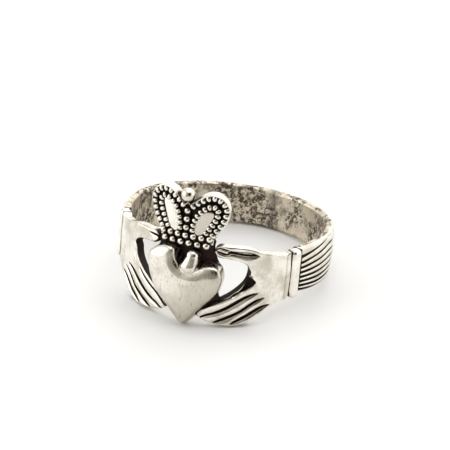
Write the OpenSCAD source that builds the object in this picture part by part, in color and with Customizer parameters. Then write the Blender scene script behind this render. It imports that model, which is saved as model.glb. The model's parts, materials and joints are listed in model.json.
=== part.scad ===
// Claddagh ring, cast in one piece: two hands hold a crowned heart, and their
// sleeves run into a plain shank. The ring lies on its side, as it rests on a
// table: it stands on the fingers of both hands at the front and on the lower
// edge of the shank at the back. The origin is the middle of the finger hole.
// The motif is laid out on the outer face: u is the distance round the ring
// from the middle of the heart, z the height along the finger hole.

/* [Finger hole] */
// Inside diameter of the ring
finger_d = 19; // [16:0.1:22]

/* [Shank] */
// Thickness of the wall, from the finger hole to the outer face
wall_t = 1; // [0.8:0.05:1.4]
// Height of the shank at the back
back_h = 3.95; // [3:0.05:4.4]
// Height of the shank at the sides
side_h = 4.7; // [4.5:0.05:5.4]
// Height of the sleeves where they are gathered into the cuffs
wrist_h = 4.3; // [4:0.05:4.5]
// How far the outer face falls back at its upper and lower edge
shank_dome = 0.2; // [0.05:0.05:0.4]
// Chamfer along the edges of the shank
shank_edge = 0.2; // [0.05:0.05:0.3]

/* [Sleeves] */
// Number of folds engraved in each sleeve
fold_n = 8; // [4:1:10]
// Width of an engraved fold
fold_w = 0.24; // [0.16:0.02:0.3]
// Height over which the folds spread where they leave the cuff
fold_spread = 3.45; // [2.8:0.05:3.8]
// How much wider they spread at their far end, as a share
fold_fan = 0.28; // [0:0.02:0.34]
// How far the middle of the folds rises from the cuff to their far end
fold_lift = 0.32; // [0:0.02:0.4]
// Angle from the middle of the heart at which the folds end
fold_end = 100; // [80:1:120]

/* [Cuffs] */
// Width of the cuff rib
cuff_w = 1.16; // [0.8:0.02:1.4]
// Length of the cuff rib
cuff_h = 4.9; // [4.2:0.05:5.4]
// How far the cuff stands proud of the shank
cuff_proud = 0.05; // [0:0.05:0.3]

/* [Hands] */
// Distance round the outer face from the middle of the heart to the wrists
hand_reach = 10.8; // [10:0.1:11.5]
// How far the fingers reach below the middle of the shank
hand_drop = 5.5; // [5:0.1:6]
// Thickness of the hand over the finger hole, at the back of the palm
palm_t = 0.86; // [0.7:0.02:1]
// Thickness over the finger hole at the bottom of the grooves
ground_t = 0.45; // [0.4:0.05:0.6]
// Radius of the round back of the thumb
thumb_r = 0.56; // [0.45:0.01:0.6]

/* [Heart] */
// Width of the heart
heart_w = 7.4; // [7:0.1:7.6]
// Height of the heart from its tip to its taller lobe
heart_h = 7.45; // [7:0.05:7.6]
// Height of the heart's dome over the finger hole
heart_rise = 2.1; // [1.5:0.05:2.6]
// Width of the tongue in the heart's notch
tongue_w = 1.6; // [1.3:0.02:1.7]

/* [Crown] */
// Width across the middles of the crown's outer beads
crown_w = 7.7; // [7:0.1:8]
// Height of the crown from its foot to the beads on its arches
crown_h = 5.4; // [5:0.1:6]
// Height of the crown's foot above the middle of the shank
crown_foot = 2; // [1.9:0.05:2.2]
// Thickness of the crown plate over the finger hole
crown_t = 0.8; // [0.7:0.05:1]
// Radius of the beads in the lower row of the crown's foot
foot_bead_r = 0.38; // [0.3:0.01:0.4]
// Radius of the beads in the outer row of an arch
arch_bead_r = 0.29; // [0.2:0.01:0.32]
// Number of beads in one outer row, and in one inner row
arch_bead_n = 13; // [10:1:16]
// Radius of the ball on top
ball_r = 0.68; // [0.5:0.02:0.8]

/* [Hidden] */
$fn = 64;
hole_r = finger_d / 2;
face_r = hole_r + wall_t;
// Degrees round the ring for one millimetre along its outer face
turn = 180 / (PI * face_r);
// How far every piece reaches into the finger hole before the hole is bored
bore_over = 0.6;
// How far a trimming wall reaches past the outer face, and past the edges of the shank
face_over = 1;
edge_over = 0.4;
core_r = hole_r - bore_over;
ground_r = hole_r + ground_t;
palm_r = hole_r + palm_t;
crown_r = hole_r + crown_t;
far = 3 * finger_d;
heart_tip = -hand_drop;
wrist = hand_reach * turn;
// Slopes of the shank's edges, from the sides towards the back and towards the cuffs
shank_taper = atan((side_h - back_h) / 2 / face_r);
sleeve_gather = atan((side_h - wrist_h) / 2 / (face_r * cos(wrist)));
// Height of a fold's first end, measured as the middle of all folds
fold_mid = -0.42;
cuff_mid = -0.35;
// Clearance between the hand and the cuff, where the wrist's line is cut
wrist_gap = 0.12;
wrist_line_r = 0.1;
wrist_line_h = 0.88 * cuff_h;
cuff_u = hand_reach + cuff_w / 2 + wrist_gap;
// Middle of the palm, round the outer face
palm_u = 0.85 * hand_reach;
// How far the fingers and the thumb stand proud of the palm
finger_proud = 0.02;
thumb_proud = 0.06;
thumb_line_r = 0.13;
// Place of the tongue's round end, and how far it stands proud of the outer face
tongue_u = 0.79;
tongue_z = 0.25;
tongue_proud = 0.35;
// Slope of the tongue, and the size of its upper end as a share of its width
tongue_lean = 7;
tongue_neck = 0.6;
// Point of the heart towards which its dome is drawn in, and how far the drawing in reaches
heart_core = [0, heart_tip + 0.53 * heart_h];
dome_reach = 0.65 * heart_w / 2;
// Width of the rim outside the outer bead rows
crown_rim = 0.06;
inner_bead_r = 0.8 * arch_bead_r;
column_bead_r = 0.9 * foot_bead_r;
// How far the leaves, the beads and the ball stand out of the crown's face
leaf_proud = 0.2;
bead_proud = 0.03;
ball_proud = 0.3;
// The ring leans back by this angle when it rests on its fingers and its back edge
finger_foot = 0.41 * hand_reach * turn;
rest_lean = atan((hand_drop - back_h / 2) / (face_r + hole_r * cos(finger_foot)));

// Outline of the right hand, from the thumb's tip round the wrist, the fingers
// and the gap beside the heart. Columns: u as a share of hand_reach, z as a
// share of hand_drop.
HAND = [
    [0.278, 0.36], [0.31, 0.47], [0.425, 0.495], [0.59, 0.475], [0.74, 0.39], [0.87, 0.35],
    [1.01, 0.3], [1.01, -0.445], [0.89, -0.52], [0.77, -0.655], [0.65, -0.835], [0.535, -0.965],
    [0.41, -1], [0.28, -0.98], [0.18, -0.92], [0.14, -0.82], [0.16, -0.72], [0.25, -0.61],
    [0.37, -0.48], [0.475, -0.335], [0.55, -0.155], [0.58, 0.02], [0.565, 0.155], [0.5, 0.235],
    [0.4, 0.255], [0.315, 0.275],
];
// Where the fingers run into the palm. Columns as in HAND.
PALM = [
    [0.6, 0.6], [1.1, 0.6], [1.1, -0.8], [0.88, -0.7],
    [0.8, -0.5], [0.73, -0.38], [0.66, -0.3], [0.6, -0.12],
];
// Fingers. Columns: u and z of the middle, as shares of hand_reach and
// hand_drop, slope in degrees, reach towards the tip and towards the palm in
// degrees round the ring, radius as a share of thumb_r.
FINGERS = [
    [0.41, -0.54, 27, 15.5, 19, 0.98],
    [0.52, -0.655, 29, 19, 17, 1],
    [0.63, -0.745, 29, 17, 14, 0.82],
    [0.68, -0.835, 30, 14, 12, 0.66],
];
// Thumb and the line engraved along it. Columns: u and z of the middle, slope,
// reach towards the tip and towards the wrist in degrees round the ring.
THUMB = [0.55, 0.345, -3, 13.5, 14];
THUMB_LINE = [0.5, 0.405, -2, 8, 9];
// Round tip of the thumb: u, z and its radius as a share of thumb_r
THUMB_TIP = [0.335, 0.37, 1.06];
// Plate behind the heart and the crown's foot, right half. Columns: u as a
// share of half heart_w, z as a share of hand_drop.
GROUND = [
    [0.759, 0.56], [0.928, 0.27], [1.044, 0.15], [1.128, 0.02], [1.128, -0.17], [1.022, -0.34],
    [0.98, -0.42], [1.159, -0.55], [0.843, -0.75], [0.348, -0.82], [0.105, -0.95],
];
// Outline of the heart from its notch round the right lobe, the tip and the
// left lobe. Columns: u as a share of half heart_w, z as a share of heart_h
// above the tip.
HEART = [
    [0.203, 0.698], [0.473, 0.768], [0.627, 0.827], [0.816, 0.838], [0.986, 0.795], [1.062, 0.698],
    [1.054, 0.608], [0.973, 0.483], [0.854, 0.396], [0.627, 0.266], [0.481, 0.185], [0.365, 0.091],
    [0.265, 0.035], [0.168, 0.003], [0.076, 0.011], [-0.014, 0.044], [-0.157, 0.114], [-0.297, 0.196],
    [-0.5, 0.305], [-0.703, 0.428], [-0.797, 0.521], [-0.881, 0.628], [-0.932, 0.736], [-0.927, 0.819],
    [-0.865, 0.879], [-0.751, 0.929], [-0.608, 0.973], [-0.432, 1], [-0.284, 1], [-0.195, 0.973],
    [-0.149, 0.886], [-0.095, 0.812], [0, 0.73], [0.203, 0.698],
];
// Sections of the heart's dome. Columns: how far it is drawn in from the
// outline, as a share of half heart_w, and its height as a share of heart_rise.
DOME = [[0, 0.15], [0, 0.4], [0.02, 0.58], [0.08, 0.74], [0.2, 0.87], [0.4, 0.96], [0.7, 1]];
// Bead rows of the right arch, from the foot over the top to the middle.
// Columns: u as a share of half crown_w, z as a share of crown_h above the foot.
OUTER_ROW = [
    [0.69, 0.29], [0.77, 0.37], [0.865, 0.465], [0.955, 0.6], [1, 0.74], [0.95, 0.855], [0.83, 0.935],
    [0.675, 0.975], [0.51, 0.955], [0.365, 0.895], [0.24, 0.83], [0.13, 0.765],
];
INNER_ROW = [
    [0.52, 0.315], [0.63, 0.44], [0.725, 0.56], [0.785, 0.68], [0.765, 0.765], [0.68, 0.81], [0.56, 0.8],
    [0.43, 0.74], [0.31, 0.65], [0.225, 0.54], [0.18, 0.43], [0.165, 0.324],
];
// Polished leaf inside the right arch. Columns as in the bead rows.
LEAF = [
    [0.33, 0.27], [0.44, 0.32], [0.54, 0.43], [0.63, 0.555], [0.68, 0.67], [0.645, 0.73], [0.53, 0.725],
    [0.41, 0.66], [0.31, 0.54], [0.255, 0.4], [0.26, 0.29], [0.33, 0.27],
];
// Side of the crown's foot, and of the stem under the ball. Columns as in the bead rows.
FOOT = [[0.73, 0], [0.73, 0.22]];
STEM = [0.06, 0.9];
// Straight bead rows of the foot. Columns: number of beads, z as a share of
// crown_h above the foot, radius and spacing as shares of foot_bead_r.
FOOT_ROWS = [[6, 0.085, 1, 2.24], [7, 0.215, 0.92, 2.1]];
// Beads of the middle column and the ball: z as a share of crown_h above the foot
COLUMN = [0.36, 0.515, 0.67];
BALL_AT = 0.97;

// One point of a smooth curve between b and c, with a and d as its neighbours
function between(a, b, c, d, t) =
    0.5 * (2 * b + (c - a) * t + (2 * a - 5 * b + 4 * c - d) * t * t + (3 * b - a - 3 * c + d) * t * t * t);

// A smooth curve through the points p, with n steps from each to the next
function curve(p, n) = concat(
    [for (i = [0:len(p) - 2], k = [0:n - 1])
        between(p[max(i - 1, 0)], p[i], p[i + 1], p[min(i + 2, len(p) - 1)], k / n)],
    [p[len(p) - 1]]);

// Points of a table scaled to real sizes
function sized(table, w, h, z0 = 0) = [for (p = table) [p[0] * w, z0 + p[1] * h]];

// The same outline on the other side of the ring
function flipped(p) = [for (i = [len(p) - 1:-1:0]) [-p[i][0], p[i][1]]];

// The curve p moved to its right by d
function beside(p, d) = [for (i = [0:len(p) - 1])
    let (way = p[min(i + 1, len(p) - 1)] - p[max(i - 1, 0)])
    p[i] + d * [way[1], -way[0]] / norm(way)];

// Length along the curve p up to its point i
function run(p, i) = i == 0 ? 0 : run(p, i - 1) + norm(p[i] - p[i - 1]);

// The point at the distance s along the curve p
function at(p, s, i = 0) =
    let (step = norm(p[i + 1] - p[i]))
    s <= step || i == len(p) - 2 ? p[i] + (p[i + 1] - p[i]) * s / step : at(p, s - step, i + 1);

// The outline p, laid out on the outer face, as seen along the radius at u0
function facing(p, u0) = [for (q = p) [face_r * sin((q[0] - u0) * turn), q[1]]];

// A point of the ring at the distance u round it, height z and radius r
function on_ring(u, z, r) = [r * sin(u * turn), -r * cos(u * turn), z];

// A wall that follows the outline p, cut along the radius at u0
module prism(p, u0, r) {
    rotate([0, 0, u0 * turn])
        translate([0, -core_r, 0])
            rotate([90, 0, 0])
                linear_extrude(r - core_r)
                    polygon(facing(p, u0));
}

// Round bar that follows the ring through (u, z) at a slope, from a degrees
// before that point to b degrees past it
module arc_bar(u, z, slope, a, b, ring_r, bar_r) {
    rotate([0, 0, u * turn])
        translate([0, 0, z])
            rotate([0, -slope, 0])
                rotate([0, 0, -90 - a])
                    rotate_extrude(angle = a + b)
                        translate([ring_r, 0])
                            circle(bar_r);
}

module both_sides() {
    children();
    mirror([1, 0, 0]) children();
}

// Everything closer than r to the axis of the finger hole
module within(r) {
    cylinder(r = r, h = far, center = true);
}

// Edge of the shank: all that lies below the height h, with both corners chamfered
module below(h) {
    e = shank_edge;
    rotate_extrude()
        polygon([
            [0, -far], [far, -far], [far, h - far + face_r - e], [face_r - e, h],
            [hole_r + e, h], [0, h - hole_r - e],
        ]);
}

// Radius of the shank's domed outer face at the height z
function dome_r(z) = face_r - shank_dome * pow(2 * z / side_h, 2);

module shank() {
    top = side_h / 2 + edge_over;
    steps = 8;
    color("silver")
        difference() {
            intersection() {
                rotate_extrude()
                    polygon(concat(
                        [[core_r, -top]],
                        [for (i = [0:steps]) let (z = top * (2 * i / steps - 1)) [dome_r(z), z]],
                        [[core_r, top]]));
                rotate([-shank_taper, 0, 0]) below(side_h / 2);
                rotate([sleeve_gather, 0, 0]) below(side_h / 2);
                rotate([shank_taper, 0, 0]) mirror([0, 0, 1]) below(side_h / 2);
                rotate([-sleeve_gather, 0, 0]) mirror([0, 0, 1]) below(side_h / 2);
            }
            linear_extrude(far, center = true)
                polygon([
                    [0, 0], far * [-sin(wrist), -cos(wrist)],
                    far * [0, -2], far * [sin(wrist), -cos(wrist)],
                ]);
        }
}

// Height of a fold at the cuff, counted from the top
function fold_z(i) = fold_mid + fold_spread * (0.5 - i / (fold_n - 1));

// Engraved folds of one sleeve, which fan out from the cuff
module folds() {
    start = (cuff_u + cuff_w / 2) * turn - 2;
    start_y = -face_r * cos(start);
    end_y = -face_r * cos(fold_end);
    for (i = [0:fold_n - 1]) {
        z = fold_z(i);
        fan = atan(((z - fold_mid) * fold_fan + fold_lift) / (end_y - start_y));
        translate([0, 0, z - start_y * tan(fan)])
            rotate([fan, 0, 0])
                rotate([0, 0, start - 90])
                    rotate_extrude(angle = fold_end - start)
                        translate([dome_r(z), 0])
                            circle(fold_w / 2, $fn = 24);
    }
}

// Rounded rib at the end of the sleeve
module cuff() {
    r = cuff_w / 2;
    half = cuff_h / 2 - r;
    steps = 6;
    color("silver")
        translate(on_ring(cuff_u, cuff_mid, face_r + cuff_proud - r))
            rotate_extrude()
                polygon(concat(
                    [for (i = [0:steps]) [r * sin(90 * i / steps), -half - r * cos(90 * i / steps)]],
                    [for (i = [0:steps]) [r * cos(90 * i / steps), half + r * sin(90 * i / steps)]]));
}

// Outline of the right hand at its real size
function hand_outline() = curve(sized(HAND, hand_reach, hand_drop), 2);

// Palm, fingers and thumb of the right hand
module hand() {
    mid = THUMB[0] * hand_reach;
    color("silver")
        intersection() {
            prism(hand_outline(), mid, face_r + face_over);
            union() {
                within(ground_r);
                intersection() {
                    within(palm_r);
                    prism(sized(PALM, hand_reach, hand_drop), palm_u, face_r + face_over);
                }
                for (f = FINGERS)
                    let (bar = thumb_r * f[5])
                    hand_bar(f, palm_r - bar + finger_proud, bar);
                hand_bar(THUMB, palm_r - thumb_r + thumb_proud, thumb_r);
                translate(on_ring(THUMB_TIP[0] * hand_reach, THUMB_TIP[1] * hand_drop, palm_r - thumb_r))
                    sphere(thumb_r * THUMB_TIP[2]);
            }
        }
}

// Bar of the hand that follows the ring as a row f of its table says
module hand_bar(f, ring_r, bar_r) {
    arc_bar(f[0] * hand_reach, f[1] * hand_drop, f[2], f[3], f[4], ring_r, bar_r);
}

// Engraved line along the upper side of the thumb, and the line at the wrist
module hand_lines() {
    hand_bar(THUMB_LINE, palm_r + thumb_proud, thumb_line_r);
    translate(on_ring(hand_reach, cuff_mid, palm_r))
        cylinder(r = wrist_line_r, h = wrist_line_h, center = true);
}

// Plate behind the heart and under the foot of the crown
module ground() {
    half = sized(GROUND, heart_w / 2, hand_drop);
    color("dimgray")
        intersection() {
            prism(concat(half, flipped(half)), 0, face_r);
            within(ground_r);
        }
}

// Domed heart: sections of its outline, drawn in and raised towards the middle
module heart() {
    edge = curve(sized(HEART, heart_w / 2, heart_h, heart_tip), 3);
    n = len(edge) - 1;
    core = heart_core;
    sections = concat([[0, (core_r - hole_r) / heart_rise]], DOME);
    m = len(sections);
    points = concat(
        [for (s = sections, i = [0:n - 1])
            let (size = norm(edge[i] - core))
            let (drawn_in = s[0] * heart_w / 2 * min(1, pow(size / dome_reach, 2)))
            let (q = core + (edge[i] - core) * exp(-drawn_in / size))
            on_ring(q[0], q[1], hole_r + heart_rise * s[1])],
        [on_ring(core[0], core[1], core_r), on_ring(core[0], core[1], hole_r + heart_rise * 1.005)]);
    skin = [for (k = [0:m - 2], i = [0:n - 1]) let (j = (i + 1) % n)
        each [[k * n + i, k * n + j, (k + 1) * n + j], [k * n + i, (k + 1) * n + j, (k + 1) * n + i]]];
    ends = [for (i = [0:n - 1]) let (j = (i + 1) % n)
        each [[i, m * n, j], [(m - 1) * n + i, (m - 1) * n + j, m * n + 1]]];
    color("gainsboro")
        polyhedron(points, concat(skin, ends));
}

// Rounded tongue that rises from the notch of the heart and tapers back to the crown's foot
module tongue() {
    r = tongue_w / 2;
    color("gainsboro")
        translate(on_ring(tongue_u, tongue_z, face_r + tongue_proud - r)) {
            rotate([0, tongue_lean, 0])
                cylinder(r1 = r, r2 = tongue_neck * r, h = crown_foot - tongue_z);
            sphere(r);
        }
}

// Outer and inner bead row of the right arch at their real size
function outer_row() = curve(sized(OUTER_ROW, crown_w / 2, crown_h, crown_foot), 2);
function inner_row() = curve(sized(INNER_ROW, crown_w / 2, crown_h, crown_foot), 2);

// Plate of the crown, curved like the ring: foot, two arches and the stem under the ball
module crown_plate() {
    half = concat(
        sized(FOOT, crown_w / 2, crown_h, crown_foot),
        beside(outer_row(), arch_bead_r + crown_rim),
        sized([STEM], crown_w / 2, crown_h, crown_foot));
    leaf = curve(sized(LEAF, crown_w / 2, crown_h, crown_foot), 3);
    color("darkgray")
        intersection() {
            prism(concat(half, flipped(half)), 0, face_r + face_over);
            within(crown_r);
        }
    color("gainsboro")
        both_sides()
            intersection() {
                prism(leaf, 0, face_r + face_over);
                within(crown_r + leaf_proud);
            }
}

// A bead that stands a little more than half out of the crown's face
module bead(u, z, r) {
    rotate([0, 0, u * turn])
        translate([0, -crown_r - bead_proud, z])
            rotate([90, 0, 0])
                sphere(r, $fn = 32);
}

// A row of n beads spaced evenly along the curve p
module bead_row(p, n, r) {
    length = run(p, len(p) - 1);
    for (i = [0:n - 1])
        let (q = at(p, length * i / (n - 1)))
        bead(q[0], q[1], r);
}

// A height in the crown, as a share of crown_h above the foot
function crown_z(share) = crown_foot + share * crown_h;

// Beads of the crown's foot, arches and middle, and the ball on top
module crown_beads() {
    color("gainsboro") {
        for (row = FOOT_ROWS, i = [0:row[0] - 1])
            bead((i - (row[0] - 1) / 2) * row[3] * foot_bead_r, crown_z(row[1]), row[2] * foot_bead_r);
        for (share = COLUMN)
            bead(0, crown_z(share), column_bead_r);
        both_sides() {
            bead_row(outer_row(), arch_bead_n, arch_bead_r);
            bead_row(inner_row(), arch_bead_n, inner_bead_r);
        }
        translate([0, -crown_r - ball_proud, crown_z(BALL_AT)])
            rotate([90, 0, 0])
                sphere(ball_r);
    }
}

module ring() {
    rotate([-rest_lean, 0, 0])
        difference() {
            union() {
                shank();
                both_sides() {
                    cuff();
                    hand();
                }
                ground();
                heart();
                tongue();
                crown_plate();
                crown_beads();
            }
            within(hole_r);
            both_sides() {
                folds();
                hand_lines();
            }
        }
}

ring();
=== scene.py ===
"""Claddagh ring in antiqued silver, lying on a pale floor.

The head is sculpted as fields: each field gives the distance from a surface at
the place (u, z, h), where u is the distance round the outer face from the
middle of the heart, z the height along the finger hole and h the height over
the finger hole's wall, all in millimetres. The shank is a swept band whose
folds are engraved by Geometry Nodes, and the crown's beads are set along their
rows by Geometry Nodes.
"""

import json
import math

import bpy
import numpy as np
from mathutils import Matrix, Vector, kdtree


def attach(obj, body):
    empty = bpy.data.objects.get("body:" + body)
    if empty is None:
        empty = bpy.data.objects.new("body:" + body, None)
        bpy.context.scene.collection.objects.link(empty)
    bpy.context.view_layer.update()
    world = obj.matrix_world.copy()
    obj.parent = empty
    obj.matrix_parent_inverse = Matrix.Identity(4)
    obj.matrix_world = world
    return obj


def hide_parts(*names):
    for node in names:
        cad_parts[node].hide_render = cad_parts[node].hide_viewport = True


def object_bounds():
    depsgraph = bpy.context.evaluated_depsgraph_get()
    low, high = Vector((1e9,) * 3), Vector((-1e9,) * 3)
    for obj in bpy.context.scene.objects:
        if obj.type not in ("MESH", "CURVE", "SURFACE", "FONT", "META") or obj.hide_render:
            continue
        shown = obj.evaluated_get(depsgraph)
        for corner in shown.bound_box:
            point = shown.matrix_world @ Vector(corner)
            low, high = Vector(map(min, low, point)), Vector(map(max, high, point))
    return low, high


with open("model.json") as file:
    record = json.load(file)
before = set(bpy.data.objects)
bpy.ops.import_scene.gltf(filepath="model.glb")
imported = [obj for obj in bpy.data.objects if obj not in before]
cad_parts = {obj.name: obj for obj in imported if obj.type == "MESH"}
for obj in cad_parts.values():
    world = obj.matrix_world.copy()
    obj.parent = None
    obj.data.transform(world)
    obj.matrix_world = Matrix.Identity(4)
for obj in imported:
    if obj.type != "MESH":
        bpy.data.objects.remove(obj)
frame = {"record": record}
cad_low, cad_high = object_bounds()

MM = 0.001
HOLE_MOUNT = frame["record"]["mounts"][0]
HOLE_R = HOLE_MOUNT["dims"]["r_mm"]
LEAN = math.atan2(HOLE_MOUNT["axis"][1], HOLE_MOUNT["axis"][2])

# Sizes in millimetres. Shank: its wall, its half heights at the back, the sides and the wrists,
# and how its outer face is domed and its corners are rounded
WALL = 1.0
FACE_R = HOLE_R + WALL
BACK_HALF = 1.975
SIDE_TOP, SIDE_BOTTOM = 2.35, 2.5
WRIST_TOP, WRIST_BOTTOM = 2.1, 2.4
SHANK_DOME = 0.2
OUTER_ROUND, BORE_ROUND = 0.26, 0.14
SIDE_BLEND = 0.12
# How much lower and thinner the shank is under a cuff, and at how many degrees from the heart
TUCK_LOW, TUCK_LOW_AT = 0.2, (65.5, 62.0)
TUCK_IN, TUCK_IN_AT = 0.55, (66.4, 64.4)
# Hands and the plate behind the heart: reach and drop from the middle, thickness of the palm and
# of the plate, unevenness, rounding of the edges, and depth of the lines
HAND_REACH, HAND_DROP = 10.8, 5.5
PALM_T, GROUND_T = 0.86, 0.45
PALM_SWELL, PALM_DIP, HOLLOW_DROP, WORN = 0.05, 0.07, 0.05, 0.011
HAND_ROUND, GAP_ROUND, INNER_ROUND = 0.28, 0.12, 0.08
FINGER_DEPTH, THUMB_DEPTH = 0.42, 0.36
WRIST_LINE_U, WRIST_LINE_HALF, WRIST_LINE_DEPTH = 10.46, 0.07, 0.08
# How far a piece reaches into the plate, and up to which height a face is one of the finger hole's
SEAT, BORE_FACE = 0.04, 0.03
# Cuffs: size, middle height, how far each stands out and narrows towards its lower end
CUFF_W, CUFF_H, CUFF_MID, CUFF_PROUD = 1.2, 4.95, -0.38, 0.12
CUFF_GAP, CUFF_ROUND, CUFF_NARROWING, CUFF_BORE_GAP = 0.12, 0.46, 0.14, 0.02
CUFF_U = HAND_REACH + CUFF_W / 2 + CUFF_GAP
# Heart: its walls flare below FLARE_TOP, and its dome falls over the shoulder and towards the tip
HEART_W, HEART_H, HEART_RISE = 7.4, 7.45, 2.1
HEART_TIP, HEART_FLARE, FLARE_TOP = -HAND_DROP, 0.2, 1.4
HEART_SHOULDER, SHOULDER_FALL, TIP_FALL, HEART_ROUND, HEART_SEAT = 1.05, 0.21, 0.26, 0.3, 0.15
# Tongue: place and width of its lower end, and how it leans, falls and tapers to its upper end
TONGUE_W, TONGUE_U, TONGUE_Z, TONGUE_TOP = 1.76, 0.77, 0.4, 2.08
TONGUE_LENGTH, TONGUE_LEAN, TONGUE_FALL, TONGUE_TAPER, TONGUE_FILLET = 0.95, 0.22, 0.3, 0.3, 0.1
# Crown: its plate, the rim round it, and the leaves, of which the left one is longer
CROWN_W, CROWN_H, CROWN_FOOT = 7.7, 5.4, 2.0
CROWN_T, CROWN_FLOOR, CROWN_RIM = 0.8, 0.5, 0.42
CROWN_ROUND, CROWN_BORE_ROUND = 0.1, 0.06
RIM_RISE, RIM_IN, RIM_HALF = 0.24, 0.16, 0.14
LEAF_PROUD, LEAF_SEAT, LEFT_ARCH_RISE = 0.12, 0.1, 0.5
# Raised bands under the bead rows: from which distance they rise and where they are full
OUTER_BAND, INNER_BAND, COLUMN_BAND, LOW_BAND = (0.42, 0.28), (0.3, 0.18), (0.36, 0.24), 0.8
# Beads: number, radius, how far they are stretched along and across their row, and where the
# middle column begins and ends as a share of CROWN_H
BEAD_RISE = 0.05
OUTER_BEADS, OUTER_BEAD_R, OUTER_STRETCH = 13, 0.25, (1.1, 1.4)
INNER_BEADS, INNER_BEAD_R, INNER_STRETCH = 14, 0.24, (1.02, 1.35)
COLUMN_BEADS, COLUMN_BEAD_R, COLUMN_LOW, COLUMN_HIGH = 3, 0.34, 0.36, 0.67
# Ball: radius, height as a share of CROWN_H, and how far its middle stands before the crown
BALL_R, BALL_AT, BALL_RISE = 0.67, 0.97, 0.3

# Folds of the sleeves and the seam, in degrees from the heart. Each fold ends sooner than its
# neighbour nearer to the middle by FOLD_SHORTER.
FOLDS, FOLD_SHORTER = 8, 1.1
SHANK_START = math.degrees((HAND_REACH + 0.06) / FACE_R)
SLEEVE_START, SLEEVE_LENGTH = 65.5, 34.5
SEAM_ANGLE, SEAM_HALF = 174.8, 2.0
# Middle height of the folds, their spread, and how much wider the upper ones are, in mm and as a
# share: each at the sleeve's start and what it gains to the sleeve's end
FOLD_MIDDLE, FOLD_SPREAD, FOLD_BIAS = (-0.47, 0.38), (3.2, 2.1), (0.12, 0.12)
FOLD_SPREAD_SLOWING = 0.35
# Least distance of the first fold from the shank's top, and of the last one from its bottom
TOP_MARGIN, BOTTOM_MARGIN = 0.15, 0.13
# Points of the shank's section: rows for each fold, and rows of the inside
ROWS_PER_FOLD, INNER_ROWS = 12, 22

# The camera stands where the photograph was taken from, in the ring's own frame: degrees and mm
CAMERA_AZIMUTH, CAMERA_ELEVATION, CAMERA_ROLL = 21.95, 20.06, 5.525
CAMERA_DISTANCE, CAMERA_RIGHT, CAMERA_UP = 233.7, -0.2, 0.987
CAMERA_LENS = 190.6

LIE_DOWN = Matrix.Rotation(-LEAN, 4, "X")


def ring_to_row(points):
    """Points of the ring's own frame in mm, as the ring lies on the floor, in metres."""
    turn = np.array(LIE_DOWN.to_3x3())
    return np.asarray(points, float) @ turn.T * MM


def added(name, data):
    """A new object of the scene that shows the data."""
    obj = bpy.data.objects.new(name, data)
    bpy.context.scene.collection.objects.link(obj)
    return obj


def set_camera():
    """Sets up the camera and lays it down with the ring."""
    azimuth, elevation, roll = (math.radians(a) for a in (CAMERA_AZIMUTH, CAMERA_ELEVATION, CAMERA_ROLL))
    back = Vector((math.sin(azimuth) * math.cos(elevation), -math.cos(azimuth) * math.cos(elevation),
                   math.sin(elevation)))
    level = Vector((math.cos(azimuth), math.sin(azimuth), 0))
    upright = back.cross(level)
    right = math.cos(roll) * level + math.sin(roll) * upright
    up = math.cos(roll) * upright - math.sin(roll) * level
    data = bpy.data.cameras.new("camera")
    data.sensor_width = 36
    data.lens = CAMERA_LENS
    data.clip_start, data.clip_end = 0.01, 10
    camera = added("camera", data)
    place = (CAMERA_DISTANCE * back + CAMERA_RIGHT * right + CAMERA_UP * up) * MM
    stand = Matrix((right, up, back)).transposed().to_4x4()
    stand.translation = place
    camera.matrix_world = LIE_DOWN @ stand
    bpy.context.scene.camera = camera


set_camera()

# Given tables. Hand: u as a share of HAND_REACH, z as a share of HAND_DROP, from
# the thumb's tip round the wrist, the fingers and the gap beside the heart.
HAND = [
    (0.278, 0.36), (0.31, 0.47), (0.425, 0.485), (0.59, 0.46), (0.74, 0.385), (0.87, 0.35), (0.965, 0.32),
    (1.005, 0.3), (1.011, -0.43), (0.89, -0.56), (0.77, -0.72), (0.65, -0.87), (0.535, -0.965),
    (0.41, -0.985), (0.28, -0.945), (0.2, -0.9), (0.148, -0.83), (0.142, -0.77), (0.17, -0.715),
    (0.25, -0.61), (0.37, -0.48), (0.475, -0.345), (0.572, -0.155), (0.6, 0.02), (0.585, 0.14),
    (0.51, 0.215), (0.4, 0.248), (0.315, 0.27),
]
# Lower side of the gap beside the heart, where its wall leans back: u and z in mm
GAP_EDGE = [(2.7, -3.35), (4.0, -2.64), (5.13, -1.9), (6.18, -0.85), (6.4, -0.3)]
# Grooves between the fingers: u, z and half width in mm
FINGER_GROOVES = [
    [(1.9, -4.93, 0.05), (2.64, -4.5, 0.08), (3.27, -4.26, 0.09), (3.9, -3.98, 0.12), (4.62, -3.58, 0.14),
     (5.43, -3.02, 0.15), (6.28, -2.46, 0.13), (7.03, -2.12, 0.08), (7.6, -1.95, 0.02)],
    [(3.5, -5.12, 0.06), (4.25, -4.79, 0.11), (4.95, -4.44, 0.12), (5.54, -4.13, 0.12), (6.15, -3.73, 0.12),
     (6.98, -3.1, 0.12), (7.67, -2.69, 0.08), (8.3, -2.42, 0.02)],
    [(5.15, -5.15, 0.06), (5.9, -4.71, 0.13), (6.58, -4.31, 0.15), (7.36, -3.8, 0.15), (8.1, -3.4, 0.1),
     (8.85, -3.12, 0.02)],
]
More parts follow.
